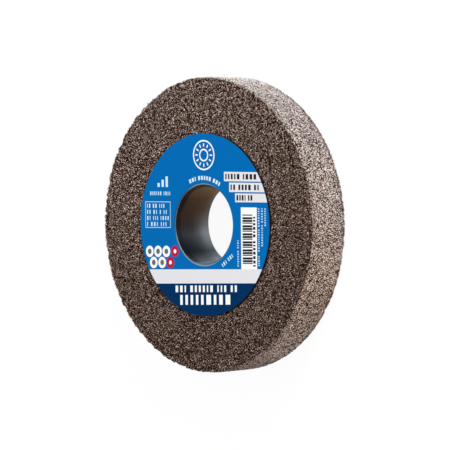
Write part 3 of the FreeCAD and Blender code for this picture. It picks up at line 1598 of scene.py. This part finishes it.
@dataclass
class PrintedBlotter:
    """The front blotter: one sheet of card whose upper face is parted along its print."""

    sizes: WheelSizes
    turns: int = 256
    cut_line: float = 0.04
    near_enough: float = 1e-4
    map_edge: float = 0.495
    map_core: float = 0.03

    def parted(self) -> tuple[np.ndarray, np.ndarray, np.ndarray]:
        """Divides the washer into triangles that no edge of the print crosses.

        A constrained Delaunay division takes the washer's two circles and every printed shape.
        A triangle belongs to the card if it lies in the outer circle and not in the hole, and
        takes the colour of the last shape that it lies in.

        Returns:
            Points in metres, triangles, and each triangle's ink number.
        """
        angle = np.arange(self.turns) * FULL_TURN / self.turns
        circle = np.column_stack([np.cos(angle), np.sin(angle)])
        outer, hole = circle * self.sizes.blotter_edge / MM, circle * self.sizes.blotter_hole / MM
        cut = circle * (self.sizes.blotter_hole / MM + self.cut_line)
        printed = FrontPrint().lay_out()
        layers = [(outer, Ink.BLUE), *printed, (cut, Ink.LINE), (hole, None)]
        points, loops = [], []
        for outline, _ in layers:
            loops.append(list(range(len(points), len(points) + len(outline))))
            points.extend(Vector(point) for point in outline.tolist())
        parts = delaunay_2d_cdt(points, [], loops, 0, self.near_enough, True)
        found, _, faces, _, _, owners = parts
        triangles, colours = [], []
        for face, inside in zip(faces, owners):
            if 0 in inside and len(layers) - 1 not in inside:
                triangles.append(face)
                colours.append(layers[max(inside)][1].number)
        flat = np.array([tuple(point) for point in found]) * MM
        return flat, np.array(triangles), np.array(colours)

    def build(self) -> bpy.types.Object:
        """Makes the card: the parted face on top, its copy below, and a wall round every open side.

        Returns:
            The card.
        """
        size = self.sizes
        flat, top, colours = self.parted()
        first, second, third = (flat[top[:, index]] for index in range(3))
        turned = np.cross(second - first, third - first) < 0
        top[turned] = top[turned][:, ::-1]
        used, packed = np.unique(top, return_inverse=True)
        top, flat = packed.reshape(top.shape), flat[used]
        count = len(flat)
        start, end = open_sides(top, count).T
        upper = np.column_stack([start, start + count, end + count])
        lower = np.column_stack([start, end + count, end])
        faces = np.concatenate([top, top[:, ::-1] + count, upper, lower])
        slots = np.full(len(faces), Ink.CARD.number, np.int32)
        slots[: len(top)] = colours
        outer = np.hypot(*flat[start].T) > (size.blotter_hole + size.blotter_edge) / 2
        # The outer wall takes the ink of painted shade, the hole's wall the cut edge's
        edges = np.where(outer, Ink.EDGE_SHADE.number, Ink.LINE.number)
        slots[-2 * len(edges) :] = np.tile(edges, 2)
        high = np.column_stack([flat, np.full(count, size.top)])
        low = np.column_stack([flat, np.full(count, size.front_face)])
        places = np.concatenate([high, low])
        card = build_mesh("front_blotter_card", places, faces, self.unrolled(places[faces]))
        for ink in Ink:
            card.data.materials.append(ink.value.build())
        card.data.polygons.foreach_set("material_index", slots)
        return card

    def unrolled(self, corners: np.ndarray) -> np.ndarray:
        """Lays the card flat on the bake map as rings, one inside the other.

        The printed face is the outermost. From its hole the map goes on inwards, with the hole's
        wall, the card's back from its hole outwards, and the outer wall.

        Args:
            corners: Each face's corners.

        Returns:
            The bake map's place for each face corner.
        """
        size = self.sizes
        thick = size.top - size.front_face
        away = np.hypot(corners[..., 0], corners[..., 1])
        upper = corners[..., 2] > size.front_face + thick / 2
        printed = self.map_edge * away / size.blotter_edge
        inmost = self.map_edge * size.blotter_hole / size.blotter_edge
        pitch = (inmost - self.map_core) / (2 * thick + size.blotter_edge - size.blotter_hole)
        back = inmost - pitch * (thick + away - size.blotter_hole)
        wall = upper & ~upper.all(axis=1, keepdims=True)
        outer_wall = wall & (away > (size.blotter_hole + size.blotter_edge) / 2)
        reach = np.where(upper, np.where(outer_wall, self.map_core, printed), back)
        return (corners[..., :2] * (reach / away)[..., None] + 0.5).reshape(-1, 2)


@dataclass
class PlainBlotter:
    """The rear blotter: a bare washer of card with softened edges."""

    sizes: WheelSizes
    turns: int = 256
    rounding: float = 0.06 * MM
    step: float = 2.5 * MM
    finish: CardFinish = CardFinish("Bare card", (0.62, 0.60, 0.55), 0.8, 0.2, 0.12)

    def build(self) -> bpy.types.Object:
        """Turns the washer's section round the bore.

        Returns:
            The washer.
        """
        size = self.sizes
        corners = [
            (size.blotter_hole, 0.0),
            (size.blotter_edge, 0.0),
            (size.blotter_edge, size.rear_face),
            (size.blotter_hole, size.rear_face),
        ]
        outline = rounded_loop(corners, [self.rounding] * 4, self.step)
        washer = turned_piece("rear_blotter_card", turned_grid(outline, self.turns), smooth=False)
        washer.data.materials.append(self.finish.build())
        return washer


@dataclass(frozen=True)
class SoftLamp:
    """A square soft box that faces the wheel. A white sheet that faces it comes out at its level."""

    name: str
    swing: float
    elevation: float
    level: float
    side: float = 0.6
    distance: float = 1.6

    def build(self) -> None:
        """Hangs the lamp in its direction from the wheel.

        A lamp of P watts lights a white sheet that faces it at distance d to P / (pi d)^2.
        """
        light = bpy.data.lights.new(self.name, "AREA")
        light.shape = "SQUARE"
        light.size = self.side
        light.energy = self.level * (math.pi * self.distance) ** 2
        lamp = bpy.data.objects.new(self.name, light)
        direction = heading(self.swing, self.elevation)
        lamp.location = direction * self.distance
        lamp.rotation_euler = direction.to_track_quat("Z", "Y").to_euler()
        bpy.context.scene.collection.objects.link(lamp)


@dataclass
class Studio:
    """A pale floor, an even sky and soft boxes."""

    floor_side: float = 6.0
    floor_drop: float = 0.05 * MM
    floor_shade: float = 0.32
    floor_glow: float = 0.34
    shown_shade: float = 0.10
    shown_glow: float = 0.92
    sky: float = 0.68
    lamps: tuple[SoftLamp, ...] = (
        SoftLamp("Key", swing=65.0, elevation=15.0, level=1.05),
        SoftLamp("Fill", swing=-15.0, elevation=30.0, level=0.22),
    )

    def seen(self, sheet: NodeSheet) -> Socket:
        """Tells whether a ray comes from the camera, or sees the studio in or through a surface.

        Args:
            sheet: The nodes to add to.

        Returns:
            1 where it does, and 0 elsewhere.
        """
        path = sheet.add("ShaderNodeLightPath")
        seen = path.outputs["Is Camera Ray"]
        for ray in ("Is Glossy Ray", "Is Transmission Ray"):
            seen = sheet.maths("ADD", seen, path.outputs[ray], clamp=True)
        return seen

    def floor(self) -> None:
        """Lays the floor: it shows as white with the wheel's shadow, and bounces a plain pale light."""
        half, low = self.floor_side / 2, -self.floor_drop
        corners = [(-half, -half, low), (half, -half, low), (half, half, low), (-half, half, low)]
        plane = build_mesh("floor", np.array(corners), np.array([[0, 1, 2, 3]]))
        sheet = NodeSheet(bpy.data.materials.new("Pale floor"))
        seen = self.seen(sheet)
        shade = sheet.span(seen, self.floor_shade, self.shown_shade)
        glow = sheet.span(seen, self.floor_glow, self.shown_glow)
        both = sheet.add("ShaderNodeAddShader")
        sheet.feed(both, 0, sheet.add("ShaderNodeBsdfDiffuse", Color=shade).outputs[0])
        sheet.feed(both, 1, sheet.add("ShaderNodeEmission", Strength=glow).outputs[0])
        sheet.show(both)
        plane.data.materials.append(sheet.owner)

    def world(self) -> None:
        """Makes the sky: white where it is seen, and a plain soft light elsewhere."""
        sheet = NodeSheet(bpy.data.worlds.new("Studio"))
        level = sheet.span(self.seen(sheet), self.sky, 1.0)
        sheet.show(sheet.add("ShaderNodeBackground", Color=paint(1.0, 1.0, 1.0), Strength=level))
        bpy.context.scene.world = sheet.owner

    def build(self) -> None:
        """Sets the whole studio up."""
        self.floor()
        self.world()
        for lamp in self.lamps:
            lamp.build()
        bpy.context.scene.view_settings.view_transform = "Standard"


@dataclass
class StudioCamera:
    """The photograph's viewpoint: well off the bore's axis, with the print's top upwards."""

    aim: tuple[float, float, float] = (2.67 * MM, -0.32 * MM, 10.24 * MM)
    distance: float = 979.2 * MM
    off_axis: float = 44.70
    swing: float = 0.91
    roll: float = -1.263
    lens: float = 184.88
    sensor: float = 36.0
    clip: Range = (0.05, 20.0)

    def build(self) -> None:
        """Places the camera and makes it the scene's.

        Its direction from the aim is off the +Z axis by off_axis, swung about it by swing from
        +X. Its right side is at right angles to the view and to +Y, then rolled.
        """
        out = heading(self.swing, 90 - self.off_axis)
        right = Vector((0, 1, 0)).cross(out).normalized()
        upwards = out.cross(right)
        turn = Matrix((right, upwards, out)).transposed().to_4x4()
        data = bpy.data.cameras.new("Camera")
        data.sensor_width = self.sensor
        data.lens = self.lens
        data.clip_start, data.clip_end = self.clip
        camera = bpy.data.objects.new("Camera", data)
        place = Matrix.Translation(Vector(self.aim) + out * self.distance)
        camera.matrix_world = place @ turn @ Matrix.Rotation(math.radians(self.roll), 4, "Z")
        bpy.context.scene.collection.objects.link(camera)
        bpy.context.scene.camera = camera


@dataclass
class GrindingWheel:
    """The whole wheel, sub-assembly by sub-assembly."""

    sizes: WheelSizes
    first_seed: int = 11

    def build(self) -> None:
        """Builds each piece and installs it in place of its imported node."""
        size = self.sizes
        bond = BondRing(size)
        install(bond.build(), "abrasive_wheel")
        moulded, dressed = GrainFinish().build(), RimGrainFinish().build()
        for seed, stretch in enumerate(Stretch, start=self.first_seed):
            skin = GrainSkin(size, bond, stretch, seed).build()
            skin.data.materials.append(dressed if stretch is Stretch.RIM else moulded)
            install(skin, "abrasive_wheel")
        install(BushLining(size).build(), "bore_bush")
        install(PrintedBlotter(size).build(), "front_blotter")
        install(PlainBlotter(size).build(), "rear_blotter")


def main() -> None:
    """Builds the studio, the camera and the wheel."""
    logging.basicConfig(level=logging.INFO, format="%(name)s: %(message)s")
    StudioCamera().build()
    Studio().build()
    GrindingWheel(WheelSizes.from_frame()).build()


if __name__ == "__main__":
    main()
